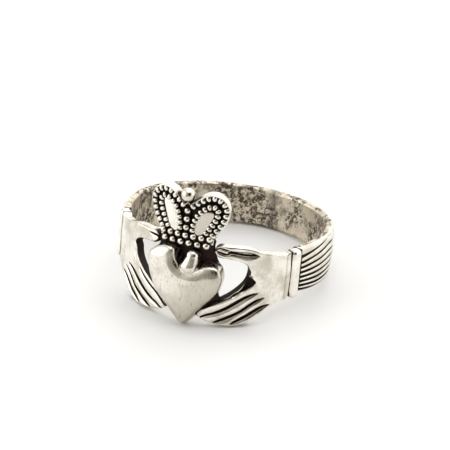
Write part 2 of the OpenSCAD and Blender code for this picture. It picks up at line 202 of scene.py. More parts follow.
# Lines of the thumb: the groove along it, and the two sides of its nail
THUMB_LINES = [
    [(4.35, 2.03, 0.08), (4.75, 2.06, 0.11), (5.2, 2.03, 0.14), (5.72, 1.98, 0.17), (6.28, 1.94, 0.18),
     (6.85, 1.88, 0.13), (7.4, 1.8, 0.02)],
    [(3.1, 2.16, 0.05), (3.25, 2.3, 0.06), (3.55, 2.39, 0.06), (3.9, 2.33, 0.06), (4.25, 2.26, 0.05),
     (4.6, 2.13, 0.04)],
    [(3.1, 2.14, 0.05), (3.45, 2.0, 0.07), (3.87, 1.88, 0.08), (4.15, 1.84, 0.07), (4.4, 1.92, 0.06),
     (4.7, 2.1, 0.04)],
]
# Hollow between the index finger, the palm and the rim of the gap: u and z in mm
HOLLOW = [
    (5.2, -2.27), (5.75, -1.82), (6.13, -1.28), (6.42, -0.66), (6.52, -0.36), (6.88, -0.48), (7.24, -0.8),
    (7.17, -1.05), (6.9, -1.33), (6.42, -1.62), (5.96, -1.84), (5.55, -2.1),
]
# What differs between the hands: the lines of the thumb, a line beside the gap's rim, how far
# the gap's lower side leans back and is moved in, and how deep the hollow is, in mm
RIGHT = {"thumb": THUMB_LINES,
         "rim": [[(2.9, -3.5, 0.03), (3.9, -3.0, 0.05), (4.75, -2.58, 0.06), (5.45, -2.1, 0.07)]],
         "lean": 0.24, "inset": 0.0, "hollow": 1.0}
LEFT = {"thumb": [[(2.95, 2.08, 0.07), (3.25, 2.22, 0.1), (3.7, 2.27, 0.08), (4.3, 2.3, 0.02)]],
        "rim": [[(1.5, -4.5, 0.04), (2.54, -3.55, 0.06), (3.59, -2.98, 0.07), (4.36, -2.5, 0.07),
                 (5.25, -1.78, 0.05)]],
        "lean": 0.0, "inset": -0.38, "hollow": 0.0}
# Plate behind the heart, right half: u as a share of half HEART_W, z as a share of HAND_DROP
GROUND = [
    (0, 0.56), (0.74, 0.56), (0.79, 0.42), (0.85, 0.27), (0.94, 0.14), (1.05, 0.03), (1.085, -0.08),
    (1.07, -0.2), (1.02, -0.34), (1.012, -0.45), (1.075, -0.56), (0.843, -0.75), (0.348, -0.84),
    (0.105, -0.95), (0, -0.95),
]
# Heart from its notch round the right lobe, the tip and the left lobe: u as a share of half
# HEART_W, z as a share of HEART_H above the tip
HEART = [
    (0.203, 0.742), (0.45, 0.785), (0.627, 0.827), (0.816, 0.838), (0.986, 0.795), (1.062, 0.698),
    (1.054, 0.608), (0.973, 0.483), (0.854, 0.396), (0.627, 0.266), (0.481, 0.185), (0.365, 0.091),
    (0.265, 0.035), (0.168, 0.003), (0.076, 0.011), (-0.014, 0.044), (-0.157, 0.114), (-0.297, 0.196),
    (-0.5, 0.305), (-0.703, 0.428), (-0.797, 0.521), (-0.881, 0.628), (-0.932, 0.736), (-0.927, 0.819),
    (-0.865, 0.879), (-0.751, 0.929), (-0.608, 0.973), (-0.432, 1), (-0.284, 1), (-0.195, 0.973),
    (-0.149, 0.886), (-0.095, 0.82), (0.03, 0.758),
]
# Crown's bead rows and leaf, right half: u as a share of half CROWN_W, z as a share of CROWN_H
OUTER_ROW = [
    (0.69, 0.29), (0.77, 0.37), (0.865, 0.465), (0.955, 0.6), (1.0, 0.74), (0.95, 0.855), (0.83, 0.935),
    (0.675, 0.975), (0.51, 0.955), (0.365, 0.895), (0.24, 0.83), (0.13, 0.765),
]
INNER_ROW = [
    (0.52, 0.315), (0.63, 0.44), (0.725, 0.56), (0.785, 0.68), (0.765, 0.765), (0.68, 0.81), (0.56, 0.8),
    (0.43, 0.74), (0.31, 0.65), (0.225, 0.54), (0.18, 0.43), (0.165, 0.324),
]
LEAF = [
    (0.33, 0.25), (0.46, 0.3), (0.55, 0.42), (0.63, 0.54), (0.69, 0.645), (0.665, 0.71), (0.53, 0.715),
    (0.385, 0.665), (0.28, 0.55), (0.215, 0.4), (0.225, 0.275),
]
# Corners of the crown's foot and of the stem under the ball, in the same shares
FOOT = [(0.73, 0.0), (0.73, 0.22)]
STEM = [(0.06, 0.9)]
# Straight bead rows of the foot: number of beads, z as a share of CROWN_H, radius and spacing in mm
FOOT_ROWS = [(6, 0.085, 0.38, 0.85), (7, 0.215, 0.35, 0.8)]


def between(a, b, c, d, t):
    """A point of a smooth curve between b and c, with a and d as its neighbours."""
    square, cube = 2 * a - 5 * b + 4 * c - d, 3 * b - a - 3 * c + d
    return 0.5 * (2 * b + (c - a) * t + square * t * t + cube * t ** 3)


def curve(points, steps, closed=False):
    """A smooth curve through the points, with so many steps from each to the next."""
    points = np.asarray(points, float)
    ends = (points[-1:], points[:2]) if closed else (points[:1], points[-1:])
    row = np.concatenate([ends[0], points, ends[1]])
    out = [between(*row[i:i + 4], k / steps) for i in range(len(row) - 3) for k in range(steps)]
    return np.array(out if closed else out + [points[-1]])


def sized(table, width, height, base=0.0):
    """The points of a table at their real size."""
    return [(a * width, base + b * height) for a, b in table]


def mirrored(points):
    """A right half and its mirror image as one closed outline."""
    return list(points) + [(-a, b) for a, b in reversed(points[1:-1])]


def beside(line, gap):
    """A line moved to its right by the gap."""
    way = np.gradient(line, axis=0)
    return line + gap * np.stack([way[:, 1], -way[:, 0]], 1) / np.linalg.norm(way, axis=1)[:, None]


def smooth_max(a, b, k):
    """The larger of a and b, with the edge where they meet rounded over k."""
    blend = np.maximum(k - np.abs(a - b), 0) / k
    return np.maximum(a, b) + blend * blend * k / 4


def smooth_min(a, b, k):
    """The smaller of a and b, with a fillet of size k where they meet."""
    return -smooth_max(-a, -b, k)


def ease(x, low, high):
    """0 below low, 1 above high and smooth between them."""
    t = np.clip((x - low) / (high - low), 0, 1)
    return t * t * (3 - 2 * t)


def mound(u, z, middle, half):
    """1 in the middle of a soft round patch and towards 0 outside it."""
    return np.exp(-((u - middle[0]) / half[0]) ** 2 - ((z - middle[1]) / half[1]) ** 2)


def along(u, z, line):
    """Distance from each (u, z) to a line, and what the line's third column says at the nearest point."""
    u, z = np.broadcast_arrays(np.asarray(u, float), np.asarray(z, float))
    line = np.asarray(line, float)
    best = np.full(u.shape, 1e9)
    extra = np.zeros(u.shape)
    for a, b in zip(line[:-1], line[1:]):
        ab = b[:2] - a[:2]
        t = np.clip(((u - a[0]) * ab[0] + (z - a[1]) * ab[1]) / max(ab @ ab, 1e-12), 0, 1)
        gap = np.hypot(u - a[0] - t * ab[0], z - a[1] - t * ab[1])
        nearer = gap < best
        best = np.where(nearer, gap, best)
        if len(a) > 2:
            extra = np.where(nearer, a[2] + t * (b[2] - a[2]), extra)
    return best, extra


def inside(u, z, loop):
    """True where (u, z) lies inside the closed outline."""
    u, z = np.broadcast_arrays(np.asarray(u, float), np.asarray(z, float))
    odd = np.zeros(u.shape, bool)
    for a, b in zip(loop, np.roll(loop, -1, axis=0)):
        if a[1] != b[1]:
            crosses = (a[1] > z) != (b[1] > z)
            odd ^= crosses & (u < a[0] + (z - a[1]) * (b[0] - a[0]) / (b[1] - a[1]))
    return odd


def from_outline(u, z, loop):
    """Distance from a closed outline, negative inside it."""
    gap, _ = along(u, z, np.vstack([loop, loop[:1]]))
    return np.where(inside(u, z, loop), -gap, gap)


def pillow(u, z, loop):
    """Smooth distance from inside an outline: true near its edge, and without creases in the middle."""
    u, z = np.broadcast_arrays(np.asarray(u, float), np.asarray(z, float))
    pull = np.zeros(u.shape)
    for a, b in zip(loop, np.roll(loop, -1, axis=0)):
        length = math.dist(a, b)
        t = (b - a) / length
        s = (u - a[0]) * t[0] + (z - a[1]) * t[1]
        off = np.maximum(np.abs((u - a[0]) * t[1] - (z - a[1]) * t[0]), 1e-3)
        pull += (s / np.hypot(s, off) - (s - length) / np.hypot(s - length, off)) / off ** 2
    return np.sqrt(2 / np.maximum(pull, 1e-9))


def hand_worn(u, z):
    """Slight unevenness of a cast and hand-polished surface, in mm."""
    return WORN * (np.sin(1.7 * u + 0.9 * z + 0.4) + np.sin(1.1 * u - 2.3 * z + 1.9) * 0.8
                   + np.sin(3.1 * u + 2.7 * z) * 0.4)


HAND_LOOP = curve(sized(HAND, HAND_REACH, HAND_DROP), 5, closed=True)
GAP_LINE = curve(GAP_EDGE, 4)
GROUND_LOOP = curve(mirrored(sized(GROUND, HEART_W / 2, HAND_DROP)), 4, closed=True)
HEART_LOOP = curve(sized(HEART, HEART_W / 2, HEART_H, HEART_TIP), 7, closed=True)
HOLLOW_LOOP = curve(HOLLOW, 3, closed=True)
CROWN_SIZE = (CROWN_W / 2, CROWN_H, CROWN_FOOT)
OUTER_LINE = curve(sized(OUTER_ROW, *CROWN_SIZE), 5)
INNER_LINE = curve(sized(INNER_ROW, *CROWN_SIZE), 5)
LEAF_LOOP = curve(sized(LEAF, *CROWN_SIZE), 4, closed=True)
LEAF_FOOT = LEAF_LOOP[:, 1].min()
CROWN_LOOP = np.array(mirrored([(0.0, CROWN_FOOT), *sized(FOOT, *CROWN_SIZE),
                                *map(tuple, beside(OUTER_LINE, CROWN_RIM)), *sized(STEM, *CROWN_SIZE),
                                (0.0, CROWN_FOOT + STEM[0][1] * CROWN_H)]))


def engraved(u, z, lines, depth):
    """How deep the lines are cut at (u, z): thin lines less deep, and their shoulders worn round."""
    thinnest, full_depth_half = 0.015, 0.1
    cut = 0.0
    for line in lines:
        gap, half = along(u, z, curve(line, 4))
        half = np.maximum(half, thinnest)
        deep = depth * np.minimum(1, half / full_depth_half)
        cut = np.maximum(cut, deep * (1 - ease(gap, 0.35 * half, 1.25 * half)))
        cut = cut + 0.35 * deep * np.exp(-(gap / (2.2 * half)) ** 2) * (1 - cut / depth)
    return cut


def gap_wall(u, z, h, side):
    """How near (u, z) is to the gap's lower side, and the distance from the hand's edge.

    The edge has its wall leant back and moved in along that side of the gap.
    """
    near = ease(along(u, z, GAP_LINE)[0], 0.9, 0.5)
    moved = side["lean"] * np.clip(h / PALM_T, 0, 1) + side["inset"]
    return near, from_outline(u, z, HAND_LOOP) + near * moved


def hand_height(u, z, side):
    """Height of a hand's face over the finger hole."""
    swell = PALM_SWELL * mound(u, z, (9.2, -0.4), (1.5, 1.6))
    dip = PALM_DIP * mound(u, z, (7.8, 0.7), (0.8, 0.9))
    wrist = WRIST_LINE_DEPTH * np.exp(-((u - WRIST_LINE_U) / WRIST_LINE_HALF) ** 2)
    height = PALM_T + swell + hand_worn(u, z) - dip - wrist
    height = height - engraved(u, z, FINGER_GROOVES + side["rim"], FINGER_DEPTH)
    height = height - engraved(u, z, side["thumb"], THUMB_DEPTH)
    sunk = from_outline(u, z, HOLLOW_LOOP)
    hollow_floor = GROUND_T - HOLLOW_DROP
    height = height + side["hollow"] * (hollow_floor - height) * (1 - ease(sunk, -0.1, 0.03))
    rim = gap_wall(u, z, PALM_T, side)[1]
    rim_drop = 0.2 * ease(sunk, 0.3, 0.0) * ease(-rim, 0.6, 0.2)
    return height - rim_drop * (z < 0.2)


def ground_field(u, z, h):
    """The plate behind the heart and under the crown's foot."""
    return smooth_max(from_outline(u, z, GROUND_LOOP), np.abs(h - GROUND_T / 2) - GROUND_T / 2, INNER_ROUND)


def ground_stain(u, z, h):
    """The plate is black all over, except towards the finger."""
    return ease(h, 0.1, 0.2)


def hand_field(u, z, h, side=RIGHT):
    """A hand: its relief, cut off at its outline and at the finger hole."""
    near, edge = gap_wall(u, z, h, side)
    sharp = np.maximum(near, ease(u, 10.2, 10.6))
    body = smooth_max(h - hand_height(u, z, side), edge, HAND_ROUND + (GAP_ROUND - HAND_ROUND) * sharp)
    body = smooth_max(body, -h, INNER_ROUND)
    return np.maximum(body, -np.maximum(from_outline(u, z, GROUND_LOOP) + SEAT, h - GROUND_T + SEAT))


def left_hand_field(u, z, h):
    """The left hand, laid out as its mirror image."""
    return hand_field(u, z, h, LEFT)


def hand_stain(u, z, h, side=RIGHT):
    """Blackening of the hollow and of the gap's walls, where no cloth gets."""
    hollow = side["hollow"] * ease(from_outline(u, z, HOLLOW_LOOP), 0.02, -0.06)
    edge = gap_wall(u, z, h, side)[1]
    in_gap = ease(u, 7.0, 6.7) * ease(z, 1.2, 0.9) * ease(z + 0.55 * u, -1.95, -1.75)
    deep = ease(hand_height(u, z, side) - h, 0.05, 0.12)
    return np.maximum(hollow, in_gap * deep * ease(edge, -0.1, -0.05))


def left_hand_stain(u, z, h):
    """The left hand's blackening, laid out as its mirror image."""
    return hand_stain(u, z, h, LEFT)


def palm_painted_shade(u, z, h):
    """Painted shade: the middle of the palm darker than its raised parts."""
    return 0.6 * mound(u, z, (7.6, 1.1), (1.1, 0.9))


def heart_field(u, z, h):
    """The domed heart and the tongue between its lobes, seated in the plate."""
    depth = np.clip(pillow(u, z, HEART_LOOP) / HEART_SHOULDER, 0, 1)
    dome = HEART_RISE * (1 - SHOULDER_FALL * (1 - depth) ** 2) + hand_worn(u, z)
    dome = dome - TIP_FALL * ease(z, -2.0, -5.0)
    edge = from_outline(u, z, HEART_LOOP) - HEART_FLARE * np.clip(FLARE_TOP - h, 0, 1)
    body = smooth_max(h - dome, edge, HEART_ROUND)
    rise = np.clip((z - TONGUE_Z) / TONGUE_LENGTH, 0, 1)
    axis_z = TONGUE_Z + rise * TONGUE_LENGTH
    radius = TONGUE_W / 2 * (1 - TONGUE_TAPER * rise)
    over = np.maximum(h - TONGUE_TOP + radius + TONGUE_FALL * rise, 0)
    off = np.sqrt((u - TONGUE_U - TONGUE_LEAN * rise) ** 2 + (z - axis_z) ** 2 + over ** 2)
    body = smooth_min(body, off - radius, TONGUE_FILLET)
    return np.maximum(body, GROUND_T - HEART_SEAT - h)


def heart_painted_shade(u, z, h):
    """How much painted shade darkens the heart towards its right side and its tip."""
    return ease(0.5 * u - 0.35 * z, -0.2, 2.6)


def cuff_field(u, z, h):
    """The rounded rib at the right wrist."""
    top = WALL + CUFF_PROUD
    foot = CUFF_MID - CUFF_H / 2
    narrow = CUFF_NARROWING * ease(z, foot + 0.9, foot)
    du = np.abs(u - CUFF_U) - (CUFF_W / 2 - CUFF_ROUND - narrow)
    dz = np.abs(z - CUFF_MID) - (CUFF_H / 2 - CUFF_ROUND)
    dh = np.abs(h - top / 2) - (top / 2 - CUFF_ROUND)
    out = np.sqrt(np.maximum(du, 0) ** 2 + np.maximum(dz, 0) ** 2 + np.maximum(dh, 0) ** 2)
    within = np.minimum(np.maximum(np.maximum(du, dz), dh), 0)
    return np.maximum(out + within - CUFF_ROUND, CUFF_BORE_GAP - h)


def crown_face(u, z):
    """Height of the crown's face: a sunk floor with a band under each bead row, and a rim outside."""
    u = np.abs(u)
    outer, _ = along(u, z, OUTER_LINE)
    inner, _ = along(u, z, INNER_LINE)
    band = np.maximum(ease(outer, *OUTER_BAND), LOW_BAND * ease(inner, *INNER_BAND))
    band = np.maximum(band, LOW_BAND * ease(u, *COLUMN_BAND))
    band = np.maximum(band, ease(z, CROWN_FOOT + 1.55, CROWN_FOOT + 1.3))
    edge = -from_outline(u, z, CROWN_LOOP)
    rim = RIM_RISE * np.exp(-((edge - RIM_IN) / RIM_HALF) ** 2)
    rim = rim * ease(z, CROWN_FOOT + 1.2, CROWN_FOOT + 1.7)
    return CROWN_FLOOR + (CROWN_T - CROWN_FLOOR) * band + rim


def crown_field(u, z, h):
    """The crown's plate, curved like the ring, cut out where the plate behind the heart lies."""
    body = smooth_max(from_outline(u, z, CROWN_LOOP), h - crown_face(u, z), CROWN_ROUND)
    body = smooth_max(body, -h, CROWN_BORE_ROUND)
    return np.maximum(body, -np.maximum(z - GROUND[0][1] * HAND_DROP + SEAT / 2, h - GROUND_T + SEAT))


def crown_stain(u, z, h):
    """Blackening of the crown's face inside its rim, and of its foot."""
    edge = -from_outline(u, z, CROWN_LOOP)
    face = ease(edge, 0.28, 0.35) * ease(h, 0.3, 0.42)
    face = face * (1 - 0.7 * ease(along(np.abs(u), z, INNER_LINE)[0], 0.24, 0.14))
    foot = ease(z, CROWN_FOOT + 0.75, CROWN_FOOT + 0.5) * ease(h, 0.2, 0.35)
    return np.maximum(face, foot)


def leaf_field(u, z, h):
    """The polished leaf inside each arch."""
    length = np.ptp(LEAF_LOOP[:, 1])
    left_z = LEAF_FOOT + (z - LEAF_FOOT) * length / (length + LEFT_ARCH_RISE)
    edge = from_outline(np.abs(u), np.where(np.less(u, 0), left_z, z), LEAF_LOOP)
    body = smooth_max(edge, h - CROWN_T - LEAF_PROUD, CROWN_ROUND)
    return np.maximum(body, CROWN_FLOOR - LEAF_SEAT - h)


def leaf_painted_shade(u, z, h):
    """Painted shade: the right leaf darker than the left one."""
    return 0.75 * ease(u, -0.2, 0.2)


def ball_field(x, z, t):
    """The ball on top, t in front of the finger hole's axis."""
    high = CROWN_FOOT + BALL_AT * CROWN_H
    return np.sqrt(x ** 2 + (z - high) ** 2 + (t - HOLE_R - CROWN_T - BALL_RISE) ** 2) - BALL_R


def quads_of(value, low, step):
    """Points and quads of the surface where the sampled field changes sign.

    Each edge of the grid that the surface cuts gives a quad between the four cells round it, and a
    cell's point is the mean of the cuts on its edges.
    """
    cells = tuple(n - 1 for n in value.shape)
    total = np.zeros((math.prod(cells), 3))
    count = np.zeros(math.prod(cells))
    filled = value < 0
    faces = []
    for axis in range(3):
        first, second = range(value.shape[axis] - 1), range(1, value.shape[axis])
        starts_inside = np.take(filled, first, axis)
        at = np.argwhere(starts_inside != np.take(filled, second, axis))
        index = tuple(at.T)
        a, b = np.take(value, first, axis)[index], np.take(value, second, axis)[index]
        point = at.astype(float)
        point[:, axis] += a / (a - b)
        one, two = (axis + 1) % 3, (axis + 2) % 3
        around = []
        for back_one, back_two in ((1, 1), (0, 1), (0, 0), (1, 0)):
            cell = at.copy()
            cell[:, one] -= back_one
            cell[:, two] -= back_two
            flat = np.ravel_multi_index(tuple(cell.T), cells)
            around.append(flat)
            count += np.bincount(flat, minlength=len(count))
            for k in range(3):
                total[:, k] += np.bincount(flat, weights=point[:, k], minlength=len(count))
        quad = np.stack(around, 1)
        faces.append(np.where(starts_inside[index][:, None], quad, quad[:, ::-1]))
    used = count > 0
    number = np.cumsum(used) - 1
    points = np.asarray(low) + total[used] / count[used][:, None] * step
    return points, number[np.concatenate(faces)]


def on_ring(places):
    """Places (u, z, h) as points of the ring's own frame."""
    angle, radius = places[:, 0] / FACE_R, HOLE_R + places[:, 2]
    return np.stack([radius * np.sin(angle), -radius * np.cos(angle), places[:, 1]], 1)


def on_left(places):
    """Places (u, z, h) of a right-hand piece as points of its mirror image."""
    return on_ring(places) * (-1, 1, 1)


def on_front(places):
    """Places (x, z, t) before the finger hole's axis as points of the ring's own frame."""
    return np.stack([places[:, 0], -places[:, 2], places[:, 1]], 1)


def piece(name, points, faces):
    """A smooth mesh object from points in the ring's own frame in mm."""
    mesh = bpy.data.meshes.new(name)
    mesh.from_pydata(ring_to_row(points).tolist(), [], faces)
    mesh.shade_smooth()
    return added(name, mesh)


def store(obj, label, values):
    """Stores a value for each point of a piece, for its material or its Geometry Nodes tree."""
    obj.data.attributes.new(label, "FLOAT", "POINT").data.foreach_set("value", values)


def settle(field, points, step):
    """Points moved onto the surface of the field and evened out, so that it takes a polish."""
    small, furthest = 0.25 * step, 0.6 * step
    for _ in range(2):
        value = field(*points.T)
        slope = np.stack([(field(*(points + small * axis).T) - value) / small for axis in np.eye(3)], 1)
        size = np.maximum((slope ** 2).sum(1), 0.3)
        points = points - np.clip(value / size, -furthest, furthest)[:, None] * slope
    return points


def sculpt(name, field, low, high, step, place, material, stain=None, dull=None):
    """The surface of a field inside a box, as a mesh object, with its stain and painted shade as attributes.

    Its faces towards the finger get the tarnish of the finger hole.
    """
    axes = [np.arange(a, b + step, step) for a, b in zip(low, high)]
    value = np.broadcast_to(field(*np.meshgrid(*axes, indexing="ij", sparse=True)), [len(a) for a in axes])
    points, faces = quads_of(value, low, step)
    points = settle(field, points, step)
    obj = piece(name, place(points), faces.tolist())
    obj.data.materials.append(material)
    if place is not on_front:
        obj.data.materials.append(BORE_SILVER)
        towards_finger = (points[:, 2] < BORE_FACE)[faces].all(1)
        obj.data.polygons.foreach_set("material_index", towards_finger.astype(np.int32))
    for label, share in (("stain", stain), ("dull", dull)):
        if share:
            store(obj, label, share(*points.T))
    return obj


def turned_out(obj):
    """A mirrored piece with its faces turned outwards again."""
    obj.data.flip_normals()
    return obj


class Nodes:
    """Short calls to build a node tree."""

    def __init__(self, tree):
        self.tree = tree

    def node(self, kind, inputs=None, **settings):
        """A new node with its settings; each input is a value or another node's output."""
        made = self.tree.nodes.new(kind)
        for key, value in settings.items():
            setattr(made, key, value)
        for key, value in (inputs or {}).items():
            if isinstance(value, bpy.types.NodeSocket):
                self.tree.links.new(value, made.inputs[key])
            else:
                made.inputs[key].default_value = value
        return made

    def math(self, operation, a, b=None, c=None):
        """The result of a Math node."""
        inputs = {i: v for i, v in enumerate((a, b, c)) if v is not None}
        return self.node("ShaderNodeMath", inputs, operation=operation).outputs[0]

    def ranged(self, value, low, high, to_low=0.0, to_high=1.0, smooth=True):
        """The value with low to high mapped to to_low to to_high, and held there outside them."""
        kind = "SMOOTHSTEP" if smooth else "LINEAR"
        inputs = {0: value, 1: low, 2: high, 3: to_low, 4: to_high}
        return self.node("ShaderNodeMapRange", inputs, interpolation_type=kind).outputs[0]


# Colours that the silver is mixed with; the first is painted shade
PAINTED_SHADE_COLOUR, SCRATCHED, RECESS_BROWN = (0.5, 0.46, 0.38), (0.36, 0.33, 0.27), (0.3, 0.235, 0.16)
TARNISH_FILM, TARNISH_SPOT, SEAM = (0.73, 0.64, 0.49), (0.075, 0.058, 0.045), (0.13, 0.11, 0.1)


def antique_silver(name, tone=(0.82, 0.785, 0.705), shade=(0.65, 0.61, 0.52), gloss=0.14, scratches=0.35,
                   film=0.0, oxide=(0.014, 0.010, 0.007), oxide_at=(0.36, 0.6)):
    """Cast silver, polished by hand: bright where it is rubbed, blackened where a cloth can't reach.

    Attributes recess, stain, cut and seam say where, a fifth where shade is painted; film is how much
    tarnish covers it.
    """
    material = bpy.data.materials.new(name)
    material.use_nodes = True
    n = Nodes(material.node_tree)
    n.tree.nodes.clear()
    place = n.node("ShaderNodeTexCoord").outputs["Object"]

    def noise(scale, detail=3.0, rough=0.55, stretch=(1, 1, 1), turn=(0, 0, 0), distort=0.0):
        """Noise in the piece's own coordinates, 0 to 1, stretched into lines or not."""
        mapped = n.node("ShaderNodeMapping", {"Vector": place, "Scale": stretch, "Rotation": turn})
        return n.node("ShaderNodeTexNoise", {
            "Vector": mapped.outputs[0], "Scale": scale, "Detail": detail, "Roughness": rough,
            "Distortion": distort,
        }).outputs["Fac"]

    def attribute(label):
        """A value stored on the piece's points, or 0 where it has none."""
        return n.node("ShaderNodeAttribute", attribute_name=label).outputs["Fac"]

    def mixed(share, a, b):
        """Colour a, and colour b where the share is 1."""
        a, b = (v if isinstance(v, bpy.types.NodeSocket) else (*v, 1) for v in (a, b))
        return n.node("ShaderNodeMix", {"Factor": share, "A": a, "B": b}, data_type="RGBA").outputs["Result"]

    # Where it is black and where it is brown, with ragged edges
    recess = attribute("recess")
    ragged = n.math("MULTIPLY_ADD", noise(3800, 4, 0.65), 0.24, -0.12)
    black = n.ranged(n.math("ADD", recess, ragged), *oxide_at)
    black = n.math("MAXIMUM", black, n.ranged(n.math("ADD", attribute("stain"), ragged), 0.35, 0.65))
    black = n.math("MAXIMUM", black, n.ranged(n.math("ADD", attribute("cut"), ragged), 0.4, 0.7))
    brown = n.ranged(n.math("ADD", recess, ragged), oxide_at[0] - 0.2, oxide_at[0] + 0.08)

    # Bare metal: cloudy, with painted shade in places, and scratched in two directions
    cloudy = n.ranged(noise(650, 4, 0.6), 0.4, 0.68)
    fine = noise(5200, 3, 0.6)
    bare = mixed(cloudy, tone, shade)
    bare = mixed(n.math("MULTIPLY", attribute("dull"), 0.9), bare, PAINTED_SHADE_COLOUR)
    hair = noise(900, 2, 0.5, stretch=(9, 9, 1), turn=(0.0, 0.4, 0.0))
    hair_2 = noise(800, 2, 0.5, stretch=(11, 11, 1.5), turn=(0.0, -0.55, 0.0))
    lines = n.math("MAXIMUM", n.ranged(hair, 0.64, 0.69), n.ranged(hair_2, 0.65, 0.7))
    bare = mixed(n.math("MULTIPLY", lines, min(1.0, 0.6 * scratches)), bare, SCRATCHED)
    rough = n.ranged(fine, 0.3, 0.7, gloss * 0.7, gloss * 1.3, smooth=False)
    if film:
        cluster = n.ranged(noise(420, 3, 0.55, distort=0.3), 0.34, 0.55)
        grain = n.ranged(noise(2100, 6, 0.72, distort=0.5), 0.44, 0.53)
        spots = n.math("MULTIPLY", cluster, grain)
        bare = mixed(film, bare, TARNISH_FILM)
        bare = mixed(n.math("MULTIPLY", spots, 0.93), bare, TARNISH_SPOT)
        bare = mixed(n.math("MULTIPLY", attribute("seam"), 0.75), bare, SEAM)
        rough = n.math("ADD", rough, n.math("MULTIPLY_ADD", spots, 0.25, 0.18))
    bare = mixed(n.math("MULTIPLY", brown, 0.7), bare, RECESS_BROWN)
    colour = mixed(black, bare, oxide)
    metal = n.math("MULTIPLY_ADD", black, -0.75, 1.0)
    rough = n.node("ShaderNodeMix", {"Factor": black, "A": rough, "B": 0.5},
                   data_type="FLOAT").outputs["Result"]

    # Fine relief
    height = n.math("MULTIPLY_ADD", lines, -scratches, n.math("MULTIPLY", fine, 0.1))
    height = n.math("ADD", height, n.math("MULTIPLY", noise(420, 2, 0.5), 0.9))
    bump = n.node("ShaderNodeBump", {"Strength": 0.5, "Distance": 0.000012, "Height": height}).outputs[0]

    shader = n.node("ShaderNodeBsdfPrincipled", {
        "Base Color": colour, "Metallic": metal, "Roughness": rough, "Normal": bump,
        "Specular IOR Level": 0.2,
    })
    n.node("ShaderNodeOutputMaterial", {"Surface": shader.outputs[0]})
    return material


HEART_SILVER = antique_silver("heart_silver", gloss=0.16, scratches=1.4, oxide_at=(0.5, 0.75))
HAND_SILVER = antique_silver("hand_silver", tone=(0.88, 0.845, 0.765), shade=(0.6, 0.56, 0.475), gloss=0.15,
                             scratches=0.6, oxide=(0.018, 0.011, 0.008))
# Painted highlight: the cuffs' silver is painted brighter than the rest.
CUFF_SILVER_PAINTED_BRIGHT = antique_silver("cuff_silver", tone=(0.92, 0.89, 0.81), shade=(0.74, 0.7, 0.61), gloss=0.17,
                             scratches=0.4)
CROWN_SILVER = antique_silver("crown_silver", gloss=0.2)
BEAD_SILVER = antique_silver("bead_silver", gloss=0.12, scratches=0.1, oxide_at=(0.4, 0.62))
# Painted highlight: the leaves' silver is painted brighter than the rest.
LEAF_SILVER_PAINTED_BRIGHT = antique_silver("leaf_silver", tone=(0.9, 0.87, 0.8), shade=(0.78, 0.75, 0.68), gloss=0.22,
                             oxide_at=(0.45, 0.7))
SLEEVE_SILVER = antique_silver("sleeve_silver", gloss=0.16, scratches=0.4, oxide_at=(0.45, 0.7))
BORE_SILVER = antique_silver("bore_tarnish", gloss=0.2, shade=(0.6, 0.56, 0.51), film=0.7)
GROUND_OXIDE = antique_silver("ground_oxide", gloss=0.35, oxide=(0.024, 0.010, 0.007))


def group(name, sockets):
    """The helper of a new Geometry Nodes tree, which has the named inputs."""
    tree = bpy.data.node_groups.new(name, "GeometryNodeTree")
    tree.is_modifier = True
    tree.interface.new_socket("Geometry", in_out="INPUT", socket_type="NodeSocketGeometry")
    for label, kind, default in sockets:
        tree.interface.new_socket(label, in_out="INPUT", socket_type=kind).default_value = default
    tree.interface.new_socket("Geometry", in_out="OUTPUT", socket_type="NodeSocketGeometry")
    return Nodes(tree)


def finished(obj, tree, **sizes):
    """The object with the plain mesh that a Geometry Nodes tree makes of it, for the given inputs."""
    modifier = obj.modifiers.new(tree.name, "NODES")
    modifier.node_group = tree
    for item in tree.interface.items_tree:
        if item.item_type == "SOCKET" and item.in_out == "INPUT" and item.name in sizes:
            modifier[item.identifier] = sizes[item.name]
    view = bpy.context.evaluated_depsgraph_get()
    mesh = bpy.data.meshes.new_from_object(obj.evaluated_get(view))
    obj.modifiers.remove(modifier)
    obj.data = mesh
    mesh.shade_smooth()
    return obj


def outward_of(n):
    """The stored direction away from the finger hole, as an output in the tree."""
    return n.node("GeometryNodeInputNamedAttribute", {"Name": "outward"},
                  data_type="FLOAT_VECTOR").outputs[0]


